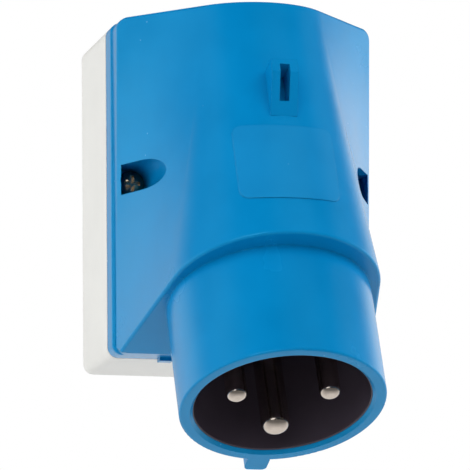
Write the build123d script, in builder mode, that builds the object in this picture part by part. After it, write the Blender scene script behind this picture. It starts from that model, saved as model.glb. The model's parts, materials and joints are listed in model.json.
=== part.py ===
from build123d import *
import os
from math import acos, atan2, cos, hypot, radians, sin

# Wall-mounted inlet, 2 poles and earth, in millimetres.
# The origin is the middle of the wall face. +Z is up and the front looks along -Y.

os.makedirs("parts", exist_ok=True)

# Housing
width = 76.0
height = 96.0
corner = 3.0
box_depth = 30.5
box_wall = 2.6
box_floor = 3.0
joint_gap = 0.5
rim_depth = 6.0
rim_edge_round = 0.9
cover_wall = 2.8

# Collar, whose axis leans forward from straight down
collar_tilt = 23.5
collar_od = 57.5
collar_bore = 49.7
collar_length = 33.8
collar_lip_chamfer = 0.9
collar_lip_round = 0.6
mouth_forward = 79.0
mouth_drop = 19.8

# Key rib on the wall side of the collar
key_width = 6.4
key_height = 5.0
key_length = 24.0
key_round = 1.4
key_root = 1.5

# Cover body: a slice at the top and a slice at the step where the collar starts
top_front_radius = 23.2
top_centre_depth = 47.1
top_edge_depth = 42.3
top_side_inset = 0.5
step_front_radius = 30.4
step_centre_forward = 4.4
step_edge_rise = 0.5
step_side_inset = 1.0
body_edge_round = 0.8
foot_round = 3.4
cavity_overlap = 1.0

# Carrier seat inside the cover
seat_depth = 8.2

# Cover screws in side pockets
screw_edge = 5.9
screw_z = 1.2
pocket_half_width = 4.3
pocket_wall = 2.2
pocket_side_wall = 1.7
pocket_floor_t = 3.0
cover_screw_d = 4.0
cover_screw_head_d = 7.8
cover_screw_head_h = 2.9
cover_screw_head_round = 1.2
cover_screw_length = 14.0
screw_clearance = 0.4
recess_arm = 4.6
recess_width = 1.1
recess_depth = 1.7

# Threaded inserts in the rear box
insert_od = 6.0
insert_length = 10.0
insert_bore_clearance = 0.1
insert_hole_room = 1.5
boss_d = 10.4

# Hook lug on the front
lug_top_z = 26.0
lug_width = 7.6
lug_height = 14.5
lug_land = 4.0
lug_proud = 6.5
lug_rib = 2.4
lug_top_wall = 1.6
lug_bottom_wall = 3.5
lug_root = 1.6
lug_slot_sink = 1.2

# Raised marking field, left bare
field_half_width = 14.3
field_top_z = 9.5
field_bottom_z = -12.5
field_round = 2.5
field_proud = 0.25

# Drip tabs on the lower joint edge
tab_edge = 16.3
tab_width = 3.8
tab_depth = 3.4
tab_height = 1.0

# Joint gasket
gasket_inset = 0.7
gasket_width = 1.5
gasket_groove = 1.0

# Wall fixing
fixing_side_edge = 13.0
fixing_end_edge = 11.0
fixing_hole_d = 5.2
fixing_collar_d = 11.0
fixing_collar_h = 3.0

# Cable entry in the top wall
entry_hole_d = 20.4
entry_y = -15.5
entry_neck_clearance = 0.2
entry_flange_d = 26.0
entry_flange_h = 1.6
entry_lip_d = 23.0
entry_lip_h = 1.4
entry_dome_h = 5.0
entry_membrane = 1.2
entry_tip_d = 6.0

# Knock-out ring in the wall face for a rear entry
knockout_d = 20.0
knockout_groove = 1.2
knockout_depth = 1.4
knockout_z = 20.0

# Contact carrier
carrier_clearance = 0.2
carrier_plug = 4.0
carrier_flange_r = 27.4
carrier_flange_t = 4.0
carrier_seal_t = 1.0
carrier_seal_r = 25.4
carrier_seal_w = 1.8
ear_x = 24.5
ear_wall_side = 22.5
ear_r = 4.4
carrier_screw_d = 3.0
carrier_screw_head_d = 5.6
carrier_screw_head_h = 2.2
carrier_screw_length = 9.5
screw_pilot_room = 0.5
thread_clearance = 0.1
carrier_slot_width = 0.8
carrier_slot_depth = 0.9

# Pins
pin_circle_r = 13.3
pin_spacing = 102.0
carrier_clock = 6.0
live_pin_d = 6.0
earth_pin_d = 8.0
live_tip_recess = 1.0
earth_tip_recess = 0.3
tip_round_share = 0.3
shoulder_extra = 1.6
shoulder_t = 2.0
live_barrel_d = 8.0
earth_barrel_d = 9.6
barrel_length = 17.0
wire_hole_d = 4.6
wire_hole_depth = 12.0
pin_clearance = 0.15
pin_root_extra = 0.3

# Pin retainer plate
retainer_r = 21.0
retainer_t = 6.0
retainer_screw_length = 11.5

# Terminal screws
clamp_screw_d = 4.0
clamp_screw_start = 1.0
clamp_screw_length = 5.2
clamp_screw_back = 5.0
clamp_slot_width = 0.8
clamp_slot_depth = 1.1
clamp_clearance = 0.1

# Derived places
half_width = width / 2
half_height = height / 2
cover_back = box_depth + joint_gap
foot_inset = corner + step_side_inset
rim_front = cover_back + rim_depth
step_edge_depth = rim_front + step_edge_rise
pocket_floor = cover_back + pocket_floor_t
screw_x = half_width - screw_edge
pocket_end = half_width - pocket_side_wall
tab_x = half_width - tab_edge
fixing_x = half_width - fixing_side_edge
fixing_z = half_height - fixing_end_edge
screw_end = pocket_floor - cover_screw_length
insert_hole_depth = box_depth - screw_end + insert_hole_room
tilt = radians(collar_tilt)
axis_up = Vector(0, sin(tilt), cos(tilt))
mouth = Vector(0, -mouth_forward, -half_height - mouth_drop)
seat_station = collar_length + seat_depth
flange_station = seat_station + carrier_seal_t
carrier_back = flange_station + carrier_flange_t
carrier_face = seat_station - carrier_plug
front_reach = mouth_forward + width
tolerance = 0.01


def station(distance):
    """Plane across the collar axis, that far in from the mouth; its +y points to the wall."""
    return Plane(origin=mouth + axis_up * distance, x_dir=(1, 0, 0), z_dir=axis_up)


def wall_plane(depth):
    """Plane parallel to the wall, that far in front of it."""
    return Plane.XZ.offset(depth)


def back_depth(distance, depth):
    """Forward place, on a station plane, of the line that lies that far from the wall."""
    plane = station(distance)
    return (-depth - plane.origin.Y) / -plane.y_dir.Y


def tangent_point(half, edge, centre, radius):
    """Where a line from the side edge touches the round front."""
    rise = edge - centre
    angle = atan2(rise, half) + acos(radius / hypot(half, rise))
    return (radius * cos(angle), centre + radius * sin(angle))


def slice_outline(plane, half, back, edge, centre, radius):
    """Half-round slice of the cover, drawn with its front towards -y."""
    touch_x, touch = tangent_point(half, edge, centre, radius)
    with BuildSketch(plane) as outline:
        with BuildLine():
            Polyline((-touch_x, -touch), (-half, -edge), (-half, -back))
            Line((-half, -back), (half, -back))
            Polyline((half, -back), (half, -edge), (touch_x, -touch))
            ThreePointArc((touch_x, -touch), (0, -centre - radius), (-touch_x, -touch))
        make_face()
    return outline.sketch


def top_slice(drop, inset, back):
    """Slice of the cover at its flat top."""
    plane = Plane.XY.offset(half_height - drop)
    half = half_width - top_side_inset - inset
    edge = top_edge_depth - inset
    return slice_outline(plane, half, back, edge, top_centre_depth, top_front_radius - inset)


def step_slice(distance, inset, back):
    """Slice of the cover at the step, square to the collar axis."""
    half = half_width - step_side_inset - inset
    rear = back_depth(distance, back)
    edge = back_depth(distance, step_edge_depth - inset)
    return slice_outline(station(distance), half, rear, edge, step_centre_forward, step_front_radius - inset)


def cover_slices(top_drop, distance, inset, back):
    """The two slices that a body of the cover runs between."""
    return [top_slice(top_drop, inset, back), step_slice(distance, inset, back)]


def side_slots(half, open_end):
    """Round-ended slots from the cover screws out to the sides."""
    for side in (-1, 1):
        with Locations((side * screw_x, screw_z)):
            Circle(half)
        middle = (screw_x + open_end) / 2
        with Locations((side * middle, screw_z)):
            Rectangle(open_end - screw_x, 2 * half)


def clamp_plane(place, reach):
    """Plane across a terminal screw, that far out from its pin's axis."""
    plane = station(clamp_station)
    pin_axis = plane.from_local_coords(Vector(*place, 0))
    outward = (pin_axis - plane.origin).normalized()
    return Plane(origin=pin_axis + outward * reach, x_dir=axis_up, z_dir=outward)


def axis_plane(distance, place):
    """Station plane moved sideways to a place on it."""
    plane = station(distance)
    origin = plane.from_local_coords(Vector(*place, 0))
    return Plane(origin=origin, x_dir=plane.x_dir, z_dir=plane.z_dir)


def pin_place(turn):
    """Place on the pin circle, turned from the earth pin."""
    angle = radians(90 - carrier_clock + turn)
    return (pin_circle_r * cos(angle), pin_circle_r * sin(angle))


pins = {
    "earth_pin": (pin_place(0), earth_pin_d, earth_tip_recess, earth_barrel_d),
    "line_pin": (pin_place(pin_spacing), live_pin_d, live_tip_recess, live_barrel_d),
    "neutral_pin": (pin_place(-pin_spacing), live_pin_d, live_tip_recess, live_barrel_d),
}
ear_places = ((-ear_x, ear_wall_side), (ear_x, ear_wall_side))
pilot_depth = carrier_screw_length - (carrier_back - seat_station) + screw_pilot_room
barrel_start = carrier_back + shoulder_t
barrel_end = barrel_start + barrel_length
clamp_station = barrel_end - clamp_screw_back

# Rear box
with BuildPart() as rear_box:
    with BuildSketch(wall_plane(0)):
        RectangleRounded(width, height, corner)
    extrude(amount=box_depth)
    with BuildSketch(wall_plane(box_floor)):
        RectangleRounded(width - 2 * box_wall, height - 2 * box_wall, corner - box_wall / 2)
        with Locations((-screw_x, screw_z), (screw_x, screw_z)):
            Circle(boss_d / 2, mode=Mode.SUBTRACT)
    extrude(amount=box_depth, mode=Mode.SUBTRACT)
    with BuildSketch(wall_plane(box_floor)):
        with GridLocations(2 * fixing_x, 2 * fixing_z, 2, 2):
            Circle(fixing_collar_d / 2)
    extrude(amount=fixing_collar_h)
    with BuildSketch(wall_plane(0)):
        with GridLocations(2 * fixing_x, 2 * fixing_z, 2, 2):
            Circle(fixing_hole_d / 2)
    extrude(amount=box_floor + fixing_collar_h, mode=Mode.SUBTRACT)
    with BuildSketch(wall_plane(box_depth)):
        with Locations((-screw_x, screw_z), (screw_x, screw_z)):
            Circle(insert_od / 2)
    extrude(amount=-insert_hole_depth, mode=Mode.SUBTRACT)
    with BuildSketch(Plane.XY.offset(half_height)):
        with Locations((0, entry_y)):
            Circle(entry_hole_d / 2)
    extrude(amount=-box_wall, mode=Mode.SUBTRACT)
    with BuildSketch(wall_plane(0)):
        with Locations((0, knockout_z)):
            Circle(knockout_d / 2)
            Circle(knockout_d / 2 - knockout_groove, mode=Mode.SUBTRACT)
    extrude(amount=knockout_depth, mode=Mode.SUBTRACT)
rear_box.part.label = "rear_box"
export_step(rear_box.part, "parts/rear_box.step")

# Joint gasket, half in the cover's groove
gasket_length = width - 2 * gasket_inset
gasket_height = height - 2 * gasket_inset
gasket_corner = corner - gasket_inset
gasket_inner_corner = gasket_corner - gasket_width / 2
with BuildPart() as cover_gasket:
    with BuildSketch(wall_plane(box_depth)):
        RectangleRounded(gasket_length, gasket_height, gasket_corner)
        RectangleRounded(
            gasket_length - 2 * gasket_width,
            gasket_height - 2 * gasket_width,
            gasket_inner_corner,
            mode=Mode.SUBTRACT,
        )
    extrude(amount=joint_gap + gasket_groove)
cover_gasket.part.label = "cover_gasket"
export_step(cover_gasket.part, "parts/cover_gasket.step")

# Hollow inside the cover, with the pocket walls left standing
with BuildPart() as cover_hollow:
    loft(cover_slices(cover_wall, seat_station, cover_wall, cover_back - cavity_overlap), ruled=True)
    split(bisect_by=Plane.XY.offset(cover_wall - half_height), keep=Keep.TOP)
    with BuildSketch(wall_plane(cover_back - cavity_overlap)):
        side_slots(pocket_half_width + pocket_wall, half_width)
    extrude(amount=front_reach, mode=Mode.SUBTRACT)

# Raised field on the front
with BuildPart() as marking_field:
    loft(cover_slices(0, collar_length, -field_proud, cover_back), ruled=True)
    with BuildSketch(wall_plane(pocket_floor)):
        with Locations((0, (field_top_z + field_bottom_z) / 2)):
            RectangleRounded(2 * field_half_width, field_top_z - field_bottom_z, field_round)
    extrude(amount=front_reach, mode=Mode.INTERSECT)

# Body of the cover, with its edges rounded
with BuildPart() as cover_body:
    loft(cover_slices(0, collar_length, 0, cover_back), ruled=True)
    fillet(cover_body.edges().filter_by(Axis.Y).group_by(Axis.Z)[-1], corner)
    top_edges = cover_body.faces().sort_by(Axis.Z)[-1].edges()
    step_edges = cover_body.faces().sort_by(Axis.Z)[0].edges()
    fillet(
        top_edges.filter_by_position(Axis.Y, -front_reach, -top_edge_depth)
        + step_edges.filter_by_position(Axis.Y, -front_reach, -step_edge_depth),
        body_edge_round,
    )
    split(bisect_by=Plane.XY.offset(-half_height), keep=Keep.TOP)
    with BuildSketch(wall_plane(cover_back)):
        for side in (-1, 1):
            with Locations((side * half_width, -half_height)):
                Rectangle(2 * foot_inset, 2 * foot_round)
            with Locations((side * (half_width - foot_inset), foot_round - half_height)):
                Circle(foot_round, mode=Mode.SUBTRACT)
    extrude(amount=rim_depth + corner, mode=Mode.SUBTRACT)

# Front line of the cover, for the lug
top_crown = Vector(0, -top_centre_depth - top_front_radius, half_height)
step_crown = station(collar_length).from_local_coords(
    Vector(0, -step_centre_forward - step_front_radius, 0)
)
crown_run = step_crown - top_crown
lug_top = top_crown + crown_run * ((lug_top_z - half_height) / crown_run.Z)
lug_plane = Plane(origin=lug_top, x_dir=-crown_run.normalized(), z_dir=(1, 0, 0))

# Front cover with its collar
with BuildPart() as front_cover:
    with BuildSketch(wall_plane(cover_back)):
        RectangleRounded(width, height, corner)
    extrude(amount=rim_depth)
    fillet(front_cover.faces().sort_by(Axis.Y)[0].edges(), rim_edge_round)
    add(cover_body.part)
    add(marking_field.part)
    with BuildSketch(lug_plane):
        with BuildLine():
            Polyline(
                (0, -lug_root),
                (0, lug_proud),
                (-lug_land, lug_proud),
                (-lug_height, 0),
                (-lug_height, -lug_root),
                close=True,
            )
        make_face()
    extrude(amount=lug_width / 2, both=True)
    with BuildSketch(station(0)):
        Circle(collar_od / 2)
    extrude(amount=seat_station)
    fillet(front_cover.edges().sort_by(Axis.Z)[0], collar_lip_round)
    with BuildSketch(station(0)):
        with Locations((0, collar_od / 2 + key_height / 2 - key_root / 2)):
            RectangleRounded(key_width, key_height + key_root, key_round)
    extrude(amount=key_length)
    add(cover_hollow.part, mode=Mode.SUBTRACT)
    with BuildSketch(station(0)):
        Circle(collar_bore / 2)
    extrude(amount=seat_station + cavity_overlap, mode=Mode.SUBTRACT)
    with BuildSketch(wall_plane(pocket_floor)):
        side_slots(pocket_half_width, pocket_end)
    extrude(amount=front_reach, mode=Mode.SUBTRACT)
    with BuildSketch(wall_plane(cover_back)):
        with Locations((-screw_x, screw_z), (screw_x, screw_z)):
            Circle((cover_screw_d + screw_clearance) / 2)
    extrude(amount=pocket_floor_t, mode=Mode.SUBTRACT)
    with BuildSketch(wall_plane(cover_back)):
        RectangleRounded(gasket_length, gasket_height, gasket_corner)
        RectangleRounded(
            gasket_length - 2 * gasket_width,
            gasket_height - 2 * gasket_width,
            gasket_inner_corner,
            mode=Mode.SUBTRACT,
        )
    extrude(amount=gasket_groove, mode=Mode.SUBTRACT)
    with BuildSketch(lug_plane.offset(-(lug_width / 2 - lug_rib))):
        with BuildLine():
            Polyline(
                (-lug_top_wall, -lug_slot_sink),
                (-lug_top_wall, lug_proud),
                (lug_bottom_wall - lug_height, lug_proud),
                (lug_bottom_wall - lug_height, -lug_slot_sink),
                close=True,
            )
        make_face()
    extrude(amount=lug_width - 2 * lug_rib, mode=Mode.SUBTRACT)
    with BuildSketch(Plane.XY.offset(-half_height)):
        with Locations((-tab_x, -cover_back - tab_depth / 2), (tab_x, -cover_back - tab_depth / 2)):
            Rectangle(tab_width, tab_depth)
    extrude(amount=-tab_height)
    with BuildSketch(station(seat_station)):
        with Locations(*ear_places):
            Circle(carrier_screw_d / 2 + thread_clearance)
    extrude(amount=-pilot_depth, mode=Mode.SUBTRACT)
    arcs = front_cover.edges().filter_by(GeomType.CIRCLE).sort_by(Axis.Z)
    chamfer(arcs.filter_by(lambda arc: abs(arc.radius - collar_bore / 2) < tolerance)[0], collar_lip_chamfer)
front_cover.part.label = "front_cover"
export_step(front_cover.part, "parts/front_cover.step")

# Contact carrier, plugged into the back of the collar
with BuildPart() as contact_carrier:
    with BuildSketch(station(carrier_face)):
        Circle(collar_bore / 2 - carrier_clearance)
    extrude(amount=carrier_back - carrier_face)
    with BuildSketch(station(flange_station)):
        Circle(carrier_flange_r)
        with Locations(*ear_places):
            Circle(ear_r)
        make_hull()
    extrude(amount=carrier_flange_t)
    with BuildSketch(station(seat_station)):
        with Locations(*ear_places):
            Circle(ear_r)
    extrude(amount=carrier_seal_t)
    with BuildSketch(station(carrier_back)):
        with Locations(*ear_places):
            Circle((carrier_screw_d + screw_clearance) / 2)
    extrude(amount=seat_station - carrier_back, mode=Mode.SUBTRACT)
    with BuildSketch(station(carrier_back)):
        Circle(carrier_screw_d / 2 + thread_clearance)
    extrude(amount=retainer_t - retainer_screw_length - screw_pilot_room, mode=Mode.SUBTRACT)
    for place, shaft_d, recess, barrel_d in pins.values():
        with BuildSketch(station(carrier_back)):
            with Locations(place):
                Circle(shaft_d / 2 + pin_root_extra + pin_clearance)
        extrude(amount=carrier_face - carrier_back, mode=Mode.SUBTRACT)
contact_carrier.part.label = "contact_carrier"
export_step(contact_carrier.part, "parts/contact_carrier.step")

# Seal between the carrier flange and its seat
with BuildPart() as carrier_seal:
    with BuildSketch(station(seat_station)):
        Circle(carrier_seal_r + carrier_seal_w)
        Circle(carrier_seal_r, mode=Mode.SUBTRACT)
    extrude(amount=carrier_seal_t)
carrier_seal.part.label = "carrier_seal"
export_step(carrier_seal.part, "parts/carrier_seal.step")

# Retainer plate that clamps the pins' shoulders
with BuildPart() as pin_retainer:
    with BuildSketch(station(carrier_back)):
        Circle(retainer_r)
    extrude(amount=retainer_t)
    with BuildSketch(station(carrier_back)):
        Circle((carrier_screw_d + screw_clearance) / 2)
    extrude(amount=retainer_t, mode=Mode.SUBTRACT)
    for place, shaft_d, recess, barrel_d in pins.values():
        with BuildSketch(station(carrier_back)):
            with Locations(place):
                Circle(barrel_d / 2 + shoulder_extra + pin_clearance)
        extrude(amount=shoulder_t, mode=Mode.SUBTRACT)
        with BuildSketch(station(carrier_back)):
            with Locations(place):
                Circle(barrel_d / 2 + pin_clearance)
        extrude(amount=retainer_t, mode=Mode.SUBTRACT)
pin_retainer.part.label = "pin_retainer"
export_step(pin_retainer.part, "parts/pin_retainer.step")

# Pins with their terminal barrels, and the terminal screws
for name, (place, shaft_d, recess, barrel_d) in pins.items():
    with BuildPart() as pin:
        with BuildSketch(station(recess)):
            with Locations(place):
                Circle(shaft_d / 2)
        extrude(amount=carrier_back - recess)
        fillet(pin.faces().sort_by(Axis.Z)[0].edges(), tip_round_share * shaft_d)
        with BuildSketch(station(carrier_face)):
            with Locations(place):
                Circle(shaft_d / 2 + pin_root_extra)
        extrude(amount=carrier_back - carrier_face)
        with BuildSketch(station(carrier_back)):
            with Locations(place):
                Circle(barrel_d / 2 + shoulder_extra)
        extrude(amount=shoulder_t)
        with BuildSketch(station(barrel_start)):
            with Locations(place):
                Circle(barrel_d / 2)
        extrude(amount=barrel_length)
        with BuildSketch(station(barrel_end)):
            with Locations(place):
                Circle(wire_hole_d / 2)
        extrude(amount=-wire_hole_depth, mode=Mode.SUBTRACT)
        with BuildSketch(clamp_plane(place, 0)):
            Circle(clamp_screw_d / 2 + clamp_clearance)
        extrude(amount=barrel_d, mode=Mode.SUBTRACT)
    pin.part.label = name
    export_step(pin.part, f"parts/{name}.step")

    with BuildPart() as clamp_screw:
        with BuildSketch(clamp_plane(place, clamp_screw_start)):
            Circle(clamp_screw_d / 2)
        extrude(amount=clamp_screw_length)
        with BuildSketch(clamp_plane(place, clamp_screw_start + clamp_screw_length)):
            Rectangle(clamp_screw_d, clamp_slot_width)
        extrude(amount=-clamp_slot_depth, mode=Mode.SUBTRACT)
    clamp_screw.part.label = name.replace("pin", "terminal_screw")
    export_step(clamp_screw.part, f"parts/{clamp_screw.part.label}.step")


def slotted_screw(place, length):
    """Pan-head slotted screw along the collar axis, its head on the plane given."""
    with BuildPart() as screw:
        with BuildSketch(place):
            Circle(carrier_screw_head_d / 2)
        extrude(amount=carrier_screw_head_h)
        with BuildSketch(place):
            Circle(carrier_screw_d / 2)
        extrude(amount=-length)
        with BuildSketch(place.offset(carrier_screw_head_h)):
            Rectangle(carrier_screw_head_d, carrier_slot_width)
        extrude(amount=-carrier_slot_depth, mode=Mode.SUBTRACT)
    return screw.part


# Carrier screws and the retainer screw
slotted_screws = {
    "carrier_screw_left": (axis_plane(carrier_back, ear_places[0]), carrier_screw_length),
    "carrier_screw_right": (axis_plane(carrier_back, ear_places[1]), carrier_screw_length),
    "retainer_screw": (station(carrier_back + retainer_t), retainer_screw_length),
}
for name, (place, length) in slotted_screws.items():
    screw = slotted_screw(place, length)
    screw.label = name
    export_step(screw, f"parts/{name}.step")

# Cover screws and the threaded inserts that they go into
for name, side in (("left", -1), ("right", 1)):
    with BuildPart() as cover_screw:
        with BuildSketch(wall_plane(pocket_floor)):
            with Locations((side * screw_x, screw_z)):
                Circle(cover_screw_head_d / 2)
        extrude(amount=cover_screw_head_h)
        fillet(cover_screw.faces().sort_by(Axis.Y)[0].edges(), cover_screw_head_round)
        with BuildSketch(wall_plane(pocket_floor)):
            with Locations((side * screw_x, screw_z)):
                Circle(cover_screw_d / 2)
        extrude(amount=-cover_screw_length)
        with BuildSketch(wall_plane(pocket_floor + cover_screw_head_h)):
            with Locations((side * screw_x, screw_z)):
                Rectangle(recess_arm, recess_width)
                Rectangle(recess_width, recess_arm)
        extrude(amount=-recess_depth, mode=Mode.SUBTRACT)
    cover_screw.part.label = f"cover_screw_{name}"
    export_step(cover_screw.part, f"parts/cover_screw_{name}.step")

    with BuildPart() as screw_insert:
        with BuildSketch(wall_plane(box_depth)):
            with Locations((side * screw_x, screw_z)):
                Circle(insert_od / 2 - insert_bore_clearance)
                Circle(cover_screw_d / 2 + thread_clearance, mode=Mode.SUBTRACT)
        extrude(amount=-insert_length)
    screw_insert.part.label = f"screw_insert_{name}"
    export_step(screw_insert.part, f"parts/screw_insert_{name}.step")

# Membrane grommet in the cable entry
neck_r = entry_hole_d / 2 - entry_neck_clearance
dome_top = entry_flange_h + entry_dome_h
lip_bottom = -box_wall - entry_lip_h
with BuildPart() as cable_grommet:
    with BuildSketch(Plane(origin=(0, entry_y, half_height), x_dir=(1, 0, 0), z_dir=(0, -1, 0))):
        with BuildLine():
            Polyline(
                (0, dome_top),
                (entry_tip_d / 2, dome_top),
                (neck_r, entry_flange_h),
                (entry_flange_d / 2, entry_flange_h),
                (entry_flange_d / 2, 0),
                (neck_r, 0),
                (neck_r, -box_wall),
                (entry_lip_d / 2, -box_wall),
                (neck_r, lip_bottom),
                (neck_r - entry_membrane, lip_bottom),
                (neck_r - entry_membrane, entry_flange_h - entry_membrane),
                (entry_tip_d / 2, dome_top - entry_membrane),
                (0, dome_top - entry_membrane),
                close=True,
            )
        make_face()
    revolve(axis=Axis((0, entry_y, 0), (0, 0, 1)))
cable_grommet.part.label = "cable_grommet"
export_step(cable_grommet.part, "parts/cable_grommet.step")
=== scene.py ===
import json
from math import asin, cos, pi, radians, sin

import bpy
from mathutils import Matrix, Vector


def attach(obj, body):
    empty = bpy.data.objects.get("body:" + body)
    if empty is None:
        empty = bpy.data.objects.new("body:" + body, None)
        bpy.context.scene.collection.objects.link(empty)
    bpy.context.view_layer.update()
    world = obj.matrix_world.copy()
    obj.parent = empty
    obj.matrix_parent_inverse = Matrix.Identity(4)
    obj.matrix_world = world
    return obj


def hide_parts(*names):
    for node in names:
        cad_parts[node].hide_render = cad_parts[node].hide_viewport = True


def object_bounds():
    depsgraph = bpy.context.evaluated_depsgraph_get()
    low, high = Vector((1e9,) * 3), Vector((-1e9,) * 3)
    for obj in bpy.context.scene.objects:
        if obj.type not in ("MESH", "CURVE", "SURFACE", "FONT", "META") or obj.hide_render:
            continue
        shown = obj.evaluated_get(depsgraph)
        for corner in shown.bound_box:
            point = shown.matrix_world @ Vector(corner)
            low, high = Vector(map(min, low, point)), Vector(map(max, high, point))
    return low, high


# Finishes, cover screws, a thin black sheet of painted shade inside the collar, light and camera for the
# wall-mounted inlet.
# Lengths are in metres, in the imported model's frame: X to the right, Y into the wall, Z up.

MM = 0.001

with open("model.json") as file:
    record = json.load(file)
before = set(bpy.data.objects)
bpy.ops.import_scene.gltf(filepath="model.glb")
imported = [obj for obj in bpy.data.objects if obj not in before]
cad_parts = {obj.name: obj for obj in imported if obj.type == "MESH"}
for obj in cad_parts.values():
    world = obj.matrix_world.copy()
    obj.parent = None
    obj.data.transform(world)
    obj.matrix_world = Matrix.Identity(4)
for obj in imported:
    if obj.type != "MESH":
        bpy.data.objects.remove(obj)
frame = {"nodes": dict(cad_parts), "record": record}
cad_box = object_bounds()
nodes = frame["nodes"]

# Camera fitted to the photograph: turned to the right, tilted up and rolled, in radians.
# Its lens and sensor are in millimetres.
CAMERA_PLACE = Vector((-0.3224, -1.2436, -0.2474))
CAMERA_YAW = 0.2596
CAMERA_PITCH = 0.1860
CAMERA_ROLL = -0.0114
CAMERA_LENS = 341.4
CAMERA_REACH = 50.0
SENSOR_WIDTH = 36.0

# Collar of the cover: middle of its mouth, slant, bore, and depth from the mouth to the contact carrier
MOUTH_MIDDLE = Vector((0.0, -79.0, -67.8)) * MM
COLLAR_TILT = radians(23.5)
COLLAR_BORE = 49.7 * MM
CARRIER_DEPTH = 38.0 * MM

# Painted shade inside the collar: a thin black sheet over the bore
SHADE_SHEET_GAP = 0.03 * MM
SHADE_SHEET_WALL = 0.3 * MM
SHADE_SHEET_SETBACK = 1.0 * MM
SHADE_SHEET_SIDES = 160
SHADE_SHEET_SHARP = radians(30)

# Cover screws: place, and sizes of the domed head, the shank and the cross recess; depths are from the wall
SCREW_SPACING = 64.2 * MM
SCREW_Z = 1.2 * MM
SCREW_SEAT = 34.0 * MM
SCREW_HEAD_RADIUS = 3.9 * MM
SCREW_DOME_RADIUS = 5.2 * MM
SCREW_DOME_TOP = 38.05 * MM
SCREW_SHANK_RADIUS = 2.0 * MM
SCREW_END = 20.0 * MM
SCREW_END_CHAMFER = 0.4 * MM
SCREW_SIDES = 64
SCREW_SHARP = radians(25)
DOME_STEPS = 14
RECESS_ARM = 4.6 * MM
RECESS_WIDTH = 1.1 * MM
RECESS_FLOOR = 36.1 * MM
RECESS_CLEAR = 1.0 * MM

# Bare field on the front of the cover, seen from the front, and the width over which its edge fades
FIELD_MIDDLE_Z = -1.5 * MM
FIELD_HALF_WIDTH = 14.3 * MM
FIELD_HALF_HEIGHT = 11.0 * MM
FIELD_ROUND = 2.5 * MM
FIELD_FADE = 0.2 * MM

# Dust: radii of a speck's core and edge, the usual distance between specks, and the share left clean
SPECK_CORE = 0.15 * MM
SPECK_EDGE = 0.3 * MM
SPECK_SPACING = 6.0 * MM
SPECKLESS_SHARE = 0.6

# Moulded plastics: size, detail and contrast of the flow marks, and the change of gloss along them;
# detail of the mould's grain, and rays for each broken edge
FLOW_SIZE = 16.0 * MM
FLOW_DETAIL = 3.0
FLOW_CONTRAST = {"From Min": 0.35, "From Max": 0.65}
FLOW_GLOSS_CHANGE = 0.03
GRAIN_DETAIL = 2.0
EDGE_SAMPLES = 6

# Metals: size of the clouds in the plating, how far they change the gloss, and size of the tool marks
CLOUD_SIZE = 3.0 * MM
CLOUD_DETAIL = 4.0
CLOUD_SHARPER = 0.05
CLOUD_DULLER = 0.07
TOOL_MARK_SIZE = 0.5 * MM
TOOL_MARK_DETAIL = 1.0

# Part of a noise pattern's range that carries the change of gloss
GLOSS_CONTRAST = {"From Min": 0.3, "From Max": 0.7}

# Lamps, aimed at the middle of the inlet: name, place, width and height, watts, and whether gloss shows it
LAMPS = (
    ("key softbox", (0.3, -0.95, 0.65), (0.9, 0.7), 7.2, False),
    ("left softbox", (-0.95, -0.25, 0.25), (0.6, 0.9), 5.2, False),
    ("glint card", (-0.455, -0.74, 0.235), (0.46, 0.5), 1.7, True),
    ("right softbox", (0.92, -0.12, 0.2), (0.5, 0.9), 5.3, False),
)

# Brightness of the surroundings by a ray's direction: Y runs from the camera's side to the wall, Z up
GLOSS_FRONT_TO_BACK = {"From Min": -0.2, "From Max": 0.15, "To Min": 0.01, "To Max": 1.7}
GLOSS_STRAIGHT_BACK = {"From Min": 0.6, "From Max": 0.95, "To Min": 1.0, "To Max": 0.4}
GLOSS_LOW_TO_HIGH = {"From Min": 0.2, "From Max": 0.5, "To Min": 1.0, "To Max": 0.01}
AMBIENT_FRONT_TO_BACK = {"From Min": -0.3, "From Max": 0.2, "To Min": 0.1, "To Max": 0.7}

# Floor: size, drop below the inlet, colours behind and in front of it, brightness to the camera and in
# gloss, and its own dull sheen
FLOOR_SIZE = 8.0
FLOOR_DROP = 0.22
FLOOR_COLOUR = "#F4F4F4"
FLOOR_COLOUR_IN_FRONT = "#D0D0D0"
FLOOR_BACK_TO_FRONT = {"From Min": 0.2, "From Max": -0.4}
FLOOR_LIFT = 0.4
FLOOR_IN_GLOSS = {"To Min": 1.0, "To Max": 0.2}
FLOOR_ROUGHNESS = 0.9
FLOOR_GLOSS = 0.1

WHITE = (1.0, 1.0, 1.0, 1.0)

# Sockets of a Mix node that mixes colours: its two colours, and its result
MIX_FIRST = 6
MIX_SECOND = 7
MIX_RESULT = 2


def linear(hex_colour):
    """An sRGB hex colour as linear RGBA."""
    channels = [int(hex_colour[i:i + 2], 16) / 255 for i in (1, 3, 5)]
    return tuple(c / 12.92 if c <= 0.04045 else ((c + 0.055) / 1.055) ** 2.4 for c in channels) + (1.0,)


def add_node(tree, kind, settings=None, inputs=None):
    """One node of a tree, with its settings, and its inputs as values or as sockets to link from."""
    node = tree.nodes.new(kind)
    for name, value in (settings or {}).items():
        setattr(node, name, value)
    for name, value in (inputs or {}).items():
        socket = node.inputs[name]
        if isinstance(value, bpy.types.NodeSocket):
            tree.links.new(value, socket)
        else:
            socket.default_value = value
    return node


def new_material(name):
    """An empty material with its tree."""
    material = bpy.data.materials.new(name)
    material.use_nodes = True
    material.node_tree.nodes.clear()
    return material, material.node_tree


def colour_between(tree, share, first, second):
    """A colour that runs from a first one, a colour or a socket, to a second one."""
    mix = add_node(
        tree, "ShaderNodeMix", {"data_type": "RGBA"},
        {"Factor": share, MIX_FIRST: first, MIX_SECOND: second},
    )
    return mix.outputs[MIX_RESULT]


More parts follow.
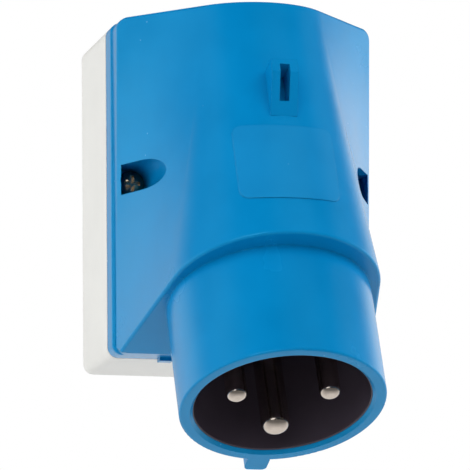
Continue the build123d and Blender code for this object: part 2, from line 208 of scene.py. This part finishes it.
def dust(tree, place):
    """How far a point lies in one of the sparse pale specks."""
    cells = add_node(
        tree, "ShaderNodeTexVoronoi",
        inputs={"Vector": place, "Scale": 1 / SPECK_SPACING, "Randomness": 1.0},
    )
    speck = add_node(
        tree, "ShaderNodeMapRange",
        inputs={
            "Value": cells.outputs["Distance"],
            "From Min": SPECK_EDGE / SPECK_SPACING,
            "From Max": SPECK_CORE / SPECK_SPACING,
        },
    )
    chance = add_node(tree, "ShaderNodeSeparateColor", inputs={"Color": cells.outputs["Color"]})
    chosen = add_node(
        tree, "ShaderNodeMath", {"operation": "GREATER_THAN"},
        {0: chance.outputs["Red"], 1: SPECKLESS_SHARE},
    )
    return add_node(
        tree, "ShaderNodeMath", {"operation": "MULTIPLY"},
        {0: speck.outputs["Result"], 1: chosen.outputs["Value"]},
    ).outputs["Value"]


def bare_field(tree, place):
    """How far a point lies inside the round-cornered field on the front of the cover."""
    core = (FIELD_HALF_WIDTH - FIELD_ROUND, 0.0, FIELD_HALF_HEIGHT - FIELD_ROUND)
    from_middle = add_node(
        tree, "ShaderNodeVectorMath", {"operation": "SUBTRACT"}, {0: place, 1: (0.0, 0.0, FIELD_MIDDLE_Z)},
    )
    flat = add_node(
        tree, "ShaderNodeVectorMath", {"operation": "MULTIPLY"},
        {0: from_middle.outputs["Vector"], 1: (1.0, 0.0, 1.0)},
    )
    either_side = add_node(
        tree, "ShaderNodeVectorMath", {"operation": "ABSOLUTE"}, {0: flat.outputs["Vector"]},
    )
    past_core = add_node(
        tree, "ShaderNodeVectorMath", {"operation": "SUBTRACT"}, {0: either_side.outputs["Vector"], 1: core},
    )
    outside = add_node(
        tree, "ShaderNodeVectorMath", {"operation": "MAXIMUM"},
        {0: past_core.outputs["Vector"], 1: (0.0, 0.0, 0.0)},
    )
    reach = add_node(tree, "ShaderNodeVectorMath", {"operation": "LENGTH"}, {0: outside.outputs["Vector"]})
    return add_node(
        tree, "ShaderNodeMapRange",
        inputs={
            "Value": reach.outputs["Value"],
            "From Min": FIELD_ROUND + FIELD_FADE,
            "From Max": FIELD_ROUND - FIELD_FADE,
        },
    ).outputs["Result"]


def moulded_plastic(name, colour, flow_colour, grain, grain_height, roughness, gloss_tint, edge, marks=()):
    """Moulded plastic or rubber: soft flow marks, the mould's grain, broken edges, and any marks on top."""
    material, tree = new_material(name)
    place = add_node(tree, "ShaderNodeTexCoord").outputs["Object"]
    flow = add_node(
        tree, "ShaderNodeTexNoise", inputs={"Vector": place, "Scale": 1 / FLOW_SIZE, "Detail": FLOW_DETAIL},
    )
    flow_share = add_node(
        tree, "ShaderNodeMapRange", inputs={"Value": flow.outputs["Fac"], **FLOW_CONTRAST},
    )
    gloss = add_node(
        tree, "ShaderNodeMapRange",
        inputs={
            "Value": flow.outputs["Fac"], **GLOSS_CONTRAST,
            "To Min": roughness - FLOW_GLOSS_CHANGE, "To Max": roughness + FLOW_GLOSS_CHANGE,
        },
    )
    fine = add_node(
        tree, "ShaderNodeTexNoise", inputs={"Vector": place, "Scale": 1 / grain, "Detail": GRAIN_DETAIL},
    )
    broken_edge = add_node(tree, "ShaderNodeBevel", {"samples": EDGE_SAMPLES}, {"Radius": edge})
    bump = add_node(
        tree, "ShaderNodeBump",
        inputs={
            "Strength": 1.0, "Distance": grain_height, "Height": fine.outputs["Fac"],
            "Normal": broken_edge.outputs["Normal"],
        },
    )
    shade = colour_between(tree, flow_share.outputs["Result"], linear(colour), linear(flow_colour))
    for mark, mark_colour, strength in marks:
        share = add_node(
            tree, "ShaderNodeMath", {"operation": "MULTIPLY"}, {0: mark(tree, place), 1: strength},
        )
        shade = colour_between(tree, share.outputs["Value"], shade, linear(mark_colour))
    shader = add_node(
        tree, "ShaderNodeBsdfPrincipled",
        inputs={
            "Base Color": shade, "Roughness": gloss.outputs["Result"],
            "Specular Tint": linear(gloss_tint), "Normal": bump.outputs["Normal"],
        },
    )
    add_node(tree, "ShaderNodeOutputMaterial", inputs={"Surface": shader.outputs["BSDF"]})
    return material


def turned_metal(name, colour, dull_colour, mark_height, roughness):
    """Machined metal: a slightly uneven tone and gloss, and very fine tool marks."""
    material, tree = new_material(name)
    place = add_node(tree, "ShaderNodeTexCoord").outputs["Object"]
    cloud = add_node(
        tree, "ShaderNodeTexNoise",
        inputs={"Vector": place, "Scale": 1 / CLOUD_SIZE, "Detail": CLOUD_DETAIL},
    )
    tool_marks = add_node(
        tree, "ShaderNodeTexNoise",
        inputs={"Vector": place, "Scale": 1 / TOOL_MARK_SIZE, "Detail": TOOL_MARK_DETAIL},
    )
    bump = add_node(
        tree, "ShaderNodeBump",
        inputs={"Strength": 1.0, "Distance": mark_height, "Height": tool_marks.outputs["Fac"]},
    )
    gloss = add_node(
        tree, "ShaderNodeMapRange",
        inputs={
            "Value": cloud.outputs["Fac"], **GLOSS_CONTRAST,
            "To Min": roughness - CLOUD_SHARPER, "To Max": roughness + CLOUD_DULLER,
        },
    )
    shader = add_node(
        tree, "ShaderNodeBsdfPrincipled",
        inputs={
            "Base Color": colour_between(tree, cloud.outputs["Fac"], linear(colour), linear(dull_colour)),
            "Metallic": 1.0, "Roughness": gloss.outputs["Result"], "Normal": bump.outputs["Normal"],
        },
    )
    add_node(tree, "ShaderNodeOutputMaterial", inputs={"Surface": shader.outputs["BSDF"]})
    return material


# The grain of each mould, and the metals' tool marks, are drawn coarser than they are, so that they show.
finishes = {
    # Polyamide from a polished mould, on the cover: an even strong blue, clear reflections that take on its
    # hue, thin light lines along the edges, a slightly paler field on the front, and a few specks of dust
    "cover_blue": moulded_plastic(
        "moulded blue polyamide", "#007AB6", "#007FBC", grain=0.7 * MM, grain_height=0.002 * MM,
        roughness=0.25, gloss_tint="#88FFFF", edge=0.3 * MM,
        marks=((bare_field, "#4C9CC8", 0.08), (dust, "#8CC8E6", 0.35)),
    ),
    # Polyamide from a lightly textured mould, on the wall box: a warm off-white with a broad, soft sheen
    "box_grey": moulded_plastic(
        "moulded pale grey polyamide", "#DEDEDA", "#E2E2DE", grain=0.8 * MM, grain_height=0.003 * MM,
        roughness=0.45, gloss_tint="#FFFFFF", edge=0.4 * MM,
    ),
    # Pressed phenolic, on the carrier and its plate: a satin black, faintly violet; on the thin sheet inside
    # the collar the same finish is painted shade
    "carrier_dark": moulded_plastic(
        "moulded black phenolic and painted collar shade", "#433B46", "#4A424D", grain=0.6 * MM, grain_height=0.004 * MM,
        roughness=0.4, gloss_tint="#FFFFFF", edge=0.3 * MM,
    ),
    # Moulded rubber, on the gasket, the seal and the grommet: a matt neutral black that hardly shines
    "seal_rubber": moulded_plastic(
        "black sealing rubber", "#191919", "#202020", grain=0.4 * MM, grain_height=0.01 * MM,
        roughness=0.7, gloss_tint="#FFFFFF", edge=0.2 * MM,
    ),
    # Turned brass with nickel plating, on the pins: a warm, slightly clouded silver with clear reflections
    "contact_nickel": turned_metal(
        "nickel-plated brass", "#D6CABF", "#BFB4A9", mark_height=0.0003 * MM, roughness=0.2,
    ),
    # Plated steel, on the screws: a smooth brownish mirror, dark wherever its surroundings are
    "screw_steel": turned_metal(
        "dark plated steel", "#A89C88", "#857A6A", mark_height=0.0003 * MM, roughness=0.18,
    ),
    # Bare turned brass, on the threaded inserts: a dull yellow with blurred reflections
    "insert_brass": turned_metal(
        "plain brass", "#C9A45C", "#B08C4A", mark_height=0.001 * MM, roughness=0.35,
    ),
}
for piece in frame["record"]["subparts"]:
    node = nodes[piece["node"]]
    node.data.materials.clear()
    node.data.materials.append(finishes[piece["material_slot"]])


def revolved(name, profile):
    """A closed mesh turned about the Y axis from radii and depths, its first and last points on the axis."""
    points = [(0.0, -profile[0][1], 0.0)]
    for radius, depth in profile[1:-1]:
        for side in range(SCREW_SIDES):
            angle = 2 * pi * side / SCREW_SIDES
            points.append((radius * cos(angle), -depth, radius * sin(angle)))
    points.append((0.0, -profile[-1][1], 0.0))
    last = len(points) - 1
    last_ring = last - SCREW_SIDES
    faces = []
    for side in range(SCREW_SIDES):
        beside = (side + 1) % SCREW_SIDES
        faces.append((0, 1 + side, 1 + beside))
        for here in range(1, last_ring, SCREW_SIDES):
            there = here + SCREW_SIDES
            faces.append((here + side, there + side, there + beside, here + beside))
        faces.append((last, last_ring + beside, last_ring + side))
    mesh = bpy.data.meshes.new(name)
    mesh.from_pydata(points, [], faces)
    return mesh


def block(name, size_x, size_z, front, back):
    """A box about the Y axis, between two depths."""
    corners = [
        (x * size_x / 2, -depth, z * size_z / 2)
        for depth in (front, back)
        for x, z in ((-1, -1), (1, -1), (1, 1), (-1, 1))
    ]
    sides = [(i + 4, (i + 1) % 4 + 4, (i + 1) % 4, i) for i in range(4)]
    mesh = bpy.data.meshes.new(name)
    mesh.from_pydata(corners, [], [(0, 1, 2, 3), (7, 6, 5, 4)] + sides)
    return mesh


def linked(name, data):
    """A new object in the scene, with its mesh, lamp or lens."""
    thing = bpy.data.objects.new(name, data)
    bpy.context.scene.collection.objects.link(thing)
    return thing


def finished_mesh(piece, name):
    """The piece's mesh with its modifiers applied."""
    bpy.context.view_layer.update()
    mesh = bpy.data.meshes.new_from_object(piece.evaluated_get(bpy.context.evaluated_depsgraph_get()))
    mesh.name = name
    return mesh


def smooth(mesh, sharp_angle):
    """Shades a mesh smooth, apart from edges sharper than an angle."""
    mesh.polygons.foreach_set("use_smooth", [True] * len(mesh.polygons))
    mesh.set_sharp_from_angle(angle=sharp_angle)


# One screw with a domed head and a cross recess
dome_middle = SCREW_DOME_TOP - SCREW_DOME_RADIUS
dome_slope = asin(SCREW_HEAD_RADIUS / SCREW_DOME_RADIUS)
screw_profile = []
for step in range(DOME_STEPS + 1):
    slope = dome_slope * step / DOME_STEPS
    screw_profile.append((SCREW_DOME_RADIUS * sin(slope), dome_middle + SCREW_DOME_RADIUS * cos(slope)))
screw_profile += [
    (SCREW_HEAD_RADIUS, SCREW_SEAT),
    (SCREW_SHANK_RADIUS, SCREW_SEAT),
    (SCREW_SHANK_RADIUS, SCREW_END + SCREW_END_CHAMFER),
    (SCREW_SHANK_RADIUS - SCREW_END_CHAMFER, SCREW_END),
    (0.0, SCREW_END),
]
one_screw = linked("one_screw", revolved("one_screw", screw_profile))
recess_front = SCREW_DOME_TOP + RECESS_CLEAR
arms = [
    linked("level_arm", block("level_arm", RECESS_ARM, RECESS_WIDTH, recess_front, RECESS_FLOOR)),
    linked("upright_arm", block("upright_arm", RECESS_WIDTH, RECESS_ARM, recess_front, RECESS_FLOOR)),
]
for arm in arms:
    cut = one_screw.modifiers.new("recess", "BOOLEAN")
    cut.operation = "DIFFERENCE"
    cut.solver = "EXACT"
    cut.object = arm
screw_mesh = finished_mesh(one_screw, "cover_screws")
for spare in [one_screw] + arms:
    bpy.data.objects.remove(spare)

# The same screw on both sides of the cover
pair = bpy.data.node_groups.new("pair of cover screws", "GeometryNodeTree")
pair.interface.new_socket("Geometry", in_out="INPUT", socket_type="NodeSocketGeometry")
pair.interface.new_socket("Geometry", in_out="OUTPUT", socket_type="NodeSocketGeometry")
pair_sizes = {
    name: pair.interface.new_socket(name, in_out="INPUT", socket_type="NodeSocketFloat").identifier
    for name in ("Spacing", "Height")
}
pair_in = add_node(pair, "NodeGroupInput")
first_x = add_node(
    pair, "ShaderNodeMath", {"operation": "MULTIPLY"}, {0: pair_in.outputs["Spacing"], 1: -0.5},
)
first_seat = add_node(
    pair, "ShaderNodeCombineXYZ", inputs={"X": first_x.outputs["Value"], "Z": pair_in.outputs["Height"]},
)
apart = add_node(pair, "ShaderNodeCombineXYZ", inputs={"X": pair_in.outputs["Spacing"]})
seats = add_node(
    pair, "GeometryNodeMeshLine",
    inputs={"Count": 2, "Start Location": first_seat.outputs["Vector"], "Offset": apart.outputs["Vector"]},
)
placed = add_node(
    pair, "GeometryNodeInstanceOnPoints",
    inputs={"Points": seats.outputs["Mesh"], "Instance": pair_in.outputs["Geometry"]},
)
real = add_node(pair, "GeometryNodeRealizeInstances", inputs={"Geometry": placed.outputs["Instances"]})
plated = add_node(
    pair, "GeometryNodeSetMaterial",
    inputs={"Geometry": real.outputs["Geometry"], "Material": finishes["screw_steel"]},
)
add_node(pair, "NodeGroupOutput", inputs={"Geometry": plated.outputs["Geometry"]})
screw_pair = linked("screw_pair", screw_mesh)
spread = screw_pair.modifiers.new("pair", "NODES")
spread.node_group = pair
spread[pair_sizes["Spacing"]] = SCREW_SPACING
spread[pair_sizes["Height"]] = SCREW_Z
cover_screws_mesh = finished_mesh(screw_pair, "cover_screws")
bpy.data.objects.remove(screw_pair)
smooth(cover_screws_mesh, SCREW_SHARP)
cover_screws = linked("cover_screws", cover_screws_mesh)
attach(cover_screws, "root")
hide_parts("cover_screw_left", "cover_screw_right")

# Painted shade: a thin black sheet inside the collar, which keeps the space round the pins dark
collar_up = Vector((0.0, sin(COLLAR_TILT), cos(COLLAR_TILT)))
collar_back = Vector((0.0, cos(COLLAR_TILT), -sin(COLLAR_TILT)))
shade_sheet_outside = COLLAR_BORE / 2 - SHADE_SHEET_GAP
shade_sheet_inside = shade_sheet_outside - SHADE_SHEET_WALL
shade_sheet_end = CARRIER_DEPTH - SHADE_SHEET_GAP
shade_sheet_profile = [
    (shade_sheet_outside, SHADE_SHEET_SETBACK),
    (shade_sheet_inside, SHADE_SHEET_SETBACK + SHADE_SHEET_WALL),
    (shade_sheet_inside, shade_sheet_end),
    (shade_sheet_outside, shade_sheet_end),
]
shade_sheet_points = []
shade_sheet_faces = []
for side in range(SHADE_SHEET_SIDES):
    angle = 2 * pi * side / SHADE_SHEET_SIDES
    outward = Vector((1.0, 0.0, 0.0)) * cos(angle) + collar_back * sin(angle)
    for radius, depth in shade_sheet_profile:
        shade_sheet_points.append(MOUTH_MIDDLE + outward * radius + collar_up * depth)
    here = side * len(shade_sheet_profile)
    there = (side + 1) % SHADE_SHEET_SIDES * len(shade_sheet_profile)
    for corner in range(len(shade_sheet_profile)):
        following = (corner + 1) % len(shade_sheet_profile)
        shade_sheet_faces.append((here + corner, here + following, there + following, there + corner))
shade_sheet_mesh = bpy.data.meshes.new("collar_shade_sheet")
shade_sheet_mesh.from_pydata(shade_sheet_points, [], shade_sheet_faces)
smooth(shade_sheet_mesh, SHADE_SHEET_SHARP)
shade_sheet_mesh.materials.append(finishes["carrier_dark"])
collar_shade_sheet = linked("collar_shade_sheet", shade_sheet_mesh)
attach(collar_shade_sheet, "root")

# Soft studio light
middle = (cad_box[0] + cad_box[1]) / 2
for name, place, size, power, in_gloss in LAMPS:
    light = bpy.data.lights.new(name, "AREA")
    light.shape = "RECTANGLE"
    light.size, light.size_y = size
    light.energy = power
    lamp = linked(name, light)
    lamp.location = place
    lamp.rotation_euler = (middle - Vector(place)).to_track_quat("-Z", "Y").to_euler()
    lamp.visible_glossy = in_gloss

# White surroundings to the camera; gloss meets them bright behind and beside the inlet, and dark elsewhere
world = bpy.data.worlds.new("white studio")
bpy.context.scene.world = world
world.use_nodes = True
sky = world.node_tree
sky.nodes.clear()
sky_rays = add_node(sky, "ShaderNodeLightPath")
direction = add_node(sky, "ShaderNodeTexCoord")
towards = add_node(sky, "ShaderNodeSeparateXYZ", inputs={"Vector": direction.outputs["Generated"]})
behind = add_node(
    sky, "ShaderNodeMapRange", {"interpolation_type": "SMOOTHSTEP"},
    {"Value": towards.outputs["Y"], **GLOSS_FRONT_TO_BACK},
)
straight_behind = add_node(
    sky, "ShaderNodeMapRange", inputs={"Value": towards.outputs["Y"], **GLOSS_STRAIGHT_BACK},
)
low = add_node(
    sky, "ShaderNodeMapRange", {"interpolation_type": "SMOOTHSTEP"},
    {"Value": towards.outputs["Z"], **GLOSS_LOW_TO_HIGH},
)
all_behind = add_node(
    sky, "ShaderNodeMath", {"operation": "MULTIPLY"},
    {0: behind.outputs["Result"], 1: straight_behind.outputs["Result"]},
)
gloss_light = add_node(
    sky, "ShaderNodeMath", {"operation": "MULTIPLY"},
    {0: all_behind.outputs["Value"], 1: low.outputs["Result"]},
)
ambient = add_node(
    sky, "ShaderNodeMapRange", {"interpolation_type": "SMOOTHSTEP"},
    {"Value": towards.outputs["Y"], **AMBIENT_FRONT_TO_BACK},
)
gloss_or_ambient = add_node(
    sky, "ShaderNodeMix", {"data_type": "FLOAT"},
    {
        "Factor": sky_rays.outputs["Is Glossy Ray"],
        "A": ambient.outputs["Result"],
        "B": gloss_light.outputs["Value"],
    },
)
seen = add_node(
    sky, "ShaderNodeMath", {"operation": "MAXIMUM"},
    {0: sky_rays.outputs["Is Camera Ray"], 1: sky_rays.outputs["Is Transmission Ray"]},
)
brightness = add_node(
    sky, "ShaderNodeMix", {"data_type": "FLOAT"},
    {"Factor": seen.outputs["Value"], "A": gloss_or_ambient.outputs["Result"], "B": 1.0},
)
backdrop = add_node(
    sky, "ShaderNodeBackground", inputs={"Color": WHITE, "Strength": brightness.outputs["Result"]},
)
add_node(sky, "ShaderNodeOutputWorld", inputs={"Surface": backdrop.outputs["Background"]})

# Matt pale paint on the floor: nearly white, and a little darker in front to soft light, so that little light
# goes up into the collar
floor_paint, paint = new_material("pale floor")
floor_rays = add_node(paint, "ShaderNodeLightPath")
floor_place = add_node(paint, "ShaderNodeTexCoord").outputs["Object"]
across = add_node(paint, "ShaderNodeSeparateXYZ", inputs={"Vector": floor_place})
in_front = add_node(
    paint, "ShaderNodeMapRange", {"interpolation_type": "SMOOTHSTEP"},
    {"Value": across.outputs["Y"], **FLOOR_BACK_TO_FRONT},
)
dimmed = add_node(
    paint, "ShaderNodeMath", {"operation": "MULTIPLY"},
    {0: floor_rays.outputs["Is Diffuse Ray"], 1: in_front.outputs["Result"]},
)
lifted = add_node(
    paint, "ShaderNodeMath", {"operation": "MULTIPLY"},
    {0: floor_rays.outputs["Is Camera Ray"], 1: FLOOR_LIFT},
)
floor_shader = add_node(
    paint, "ShaderNodeBsdfPrincipled",
    inputs={
        "Base Color": colour_between(
            paint, dimmed.outputs["Value"], linear(FLOOR_COLOUR), linear(FLOOR_COLOUR_IN_FRONT),
        ),
        "Roughness": FLOOR_ROUGHNESS, "Specular IOR Level": FLOOR_GLOSS,
        "Emission Color": WHITE, "Emission Strength": lifted.outputs["Value"],
    },
)
floor_in_gloss = add_node(
    paint, "ShaderNodeMapRange", inputs={"Value": in_front.outputs["Result"], **FLOOR_IN_GLOSS},
)
floor_glow = add_node(
    paint, "ShaderNodeEmission", inputs={"Color": WHITE, "Strength": floor_in_gloss.outputs["Result"]},
)
met_in_gloss = add_node(
    paint, "ShaderNodeMath", {"operation": "MAXIMUM"},
    {0: floor_rays.outputs["Is Glossy Ray"], 1: floor_rays.outputs["Is Transmission Ray"]},
)
floor_surface = add_node(
    paint, "ShaderNodeMixShader",
    inputs={
        0: met_in_gloss.outputs["Value"],
        1: floor_shader.outputs["BSDF"],
        2: floor_glow.outputs["Emission"],
    },
)
add_node(paint, "ShaderNodeOutputMaterial", inputs={"Surface": floor_surface.outputs["Shader"]})

# Floor, well below the inlet, which hangs on a wall
floor_z = cad_box[0].z - FLOOR_DROP
half_floor = FLOOR_SIZE / 2
floor_mesh = bpy.data.meshes.new("floor")
floor_corners = [(x * half_floor, y * half_floor, floor_z) for x, y in ((-1, -1), (1, -1), (1, 1), (-1, 1))]
floor_mesh.from_pydata(floor_corners, [], [(0, 1, 2, 3)])
floor_mesh.materials.append(floor_paint)
floor = linked("floor", floor_mesh)

# Camera
ahead = Vector((
    sin(CAMERA_YAW) * cos(CAMERA_PITCH), cos(CAMERA_YAW) * cos(CAMERA_PITCH), sin(CAMERA_PITCH),
))
level = Vector((cos(CAMERA_YAW), -sin(CAMERA_YAW), 0.0))
upward = level.cross(ahead)
right = level * cos(CAMERA_ROLL) + upward * sin(CAMERA_ROLL)
up = upward * cos(CAMERA_ROLL) - level * sin(CAMERA_ROLL)
lens = bpy.data.cameras.new("photo camera")
lens.lens = CAMERA_LENS
lens.sensor_width = SENSOR_WIDTH
lens.clip_end = CAMERA_REACH
camera = linked("photo camera", lens)
camera.matrix_world = Matrix.Translation(CAMERA_PLACE) @ Matrix((right, up, -ahead)).transposed().to_4x4()
bpy.context.scene.camera = camera
bpy.context.scene.view_settings.view_transform = "Standard"
